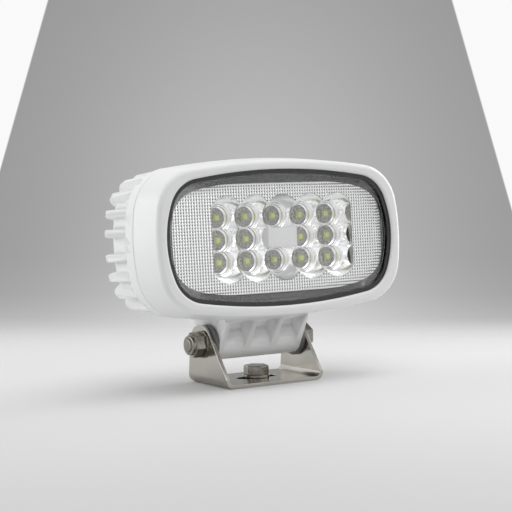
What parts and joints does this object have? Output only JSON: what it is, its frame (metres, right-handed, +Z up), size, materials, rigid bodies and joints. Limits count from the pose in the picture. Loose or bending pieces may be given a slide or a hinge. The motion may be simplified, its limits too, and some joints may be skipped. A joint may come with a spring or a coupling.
{
  "type": "spreader light",
  "caption": "Marine LED flood light with a finned white head on a ribbed foot, tilting in a stainless U bracket held by one bolt through a slot.",
  "frame": {"origin": "middle of the bracket's base, on its underside, on the axis of the mounting bolt", "axes": "+Z up along the mounting bolt, the light shines towards -Y, +X to the right seen from the front along the head's long side"},
  "size_m": [0.176, 0.0787, 0.1525],
  "materials": {
    "white_paint": "smooth satin powder coat",
    "stainless": "satin stainless sheet",
    "bolt_steel": "machined stainless",
    "nut_nylon": "nylon",
    "bush_plastic": "moulded",
    "seal_rubber": "matt",
    "lens_clear": "clear polished",
    "reflector_metal": "vacuum metallised plastic",
    "board_white": "solder mask",
    "package_ceramic": "plain",
    "phosphor": "phosphor in silicone",
    "pad_grey": "soft",
    "spreader_aluminium": "mill",
    "board_green": "solder mask",
    "choke_ferrite": "ferrite",
    "capacitor_sleeve": "sleeved",
    "chip_black": "moulded",
    "terminal_plastic": "moulded",
    "lead_sleeve": "wire sleeve",
    "gland_brass": "nickel plated brass",
    "vent_plastic": "moulded"
  },
  "bodies": {
    "mounting_bolt": {"mounting_bolt": "bolt_steel"},
    "washer": {"mounting_washer": "bolt_steel"},
    "bracket": {"bracket": "stainless", "pivot_bolt": "bolt_steel", "pivot_washers": "bolt_steel", "pivot_lock_nut": "bolt_steel", "lock_nut_insert": "nut_nylon"},
    "head": {"pivot_bush_left": "bush_plastic", "pivot_bush_right": "bush_plastic", "housing": "white_paint", "bezel": "white_paint", "housing_seal": "seal_rubber", "lens_gasket": "seal_rubber", "lens": "lens_clear", "reflector": "reflector_metal", "led_board": "board_white", "led_packages": "package_ceramic", "led_phosphors": "phosphor", "thermal_pad": "pad_grey", "heat_spreader": "spreader_aluminium", "board_screws": "bolt_steel", "bezel_screws": "bolt_steel", "driver_board": "board_green", "driver_screws": "bolt_steel", "driver_chokes": "choke_ferrite", "driver_capacitors": "capacitor_sleeve", "driver_chips": "chip_black", "terminal_block": "terminal_plastic", "led_leads": "lead_sleeve", "gland_body": "gland_brass", "gland_seal": "seal_rubber", "gland_nut": "gland_brass", "vent_plug": "vent_plastic", "vent_ring_seal": "seal_rubber"}
  },
  "joints": [
    {"name": "swivel", "type": "hinge", "parent": "mounting_bolt", "child": "washer", "pos_m": [0, 0, 0], "axis": [0, 0, 1], "continuous": true},
    {"name": "slot_slide", "type": "slide", "parent": "washer", "child": "bracket", "axis": [1, 0, 0], "range_m": [-0.008, 0.008]},
    {"name": "tilt", "type": "hinge", "parent": "bracket", "child": "head", "pos_m": [0, 0.0048, 0.0237], "axis": [1, 0, 0], "range_deg": [-60, 50]}
  ]
}
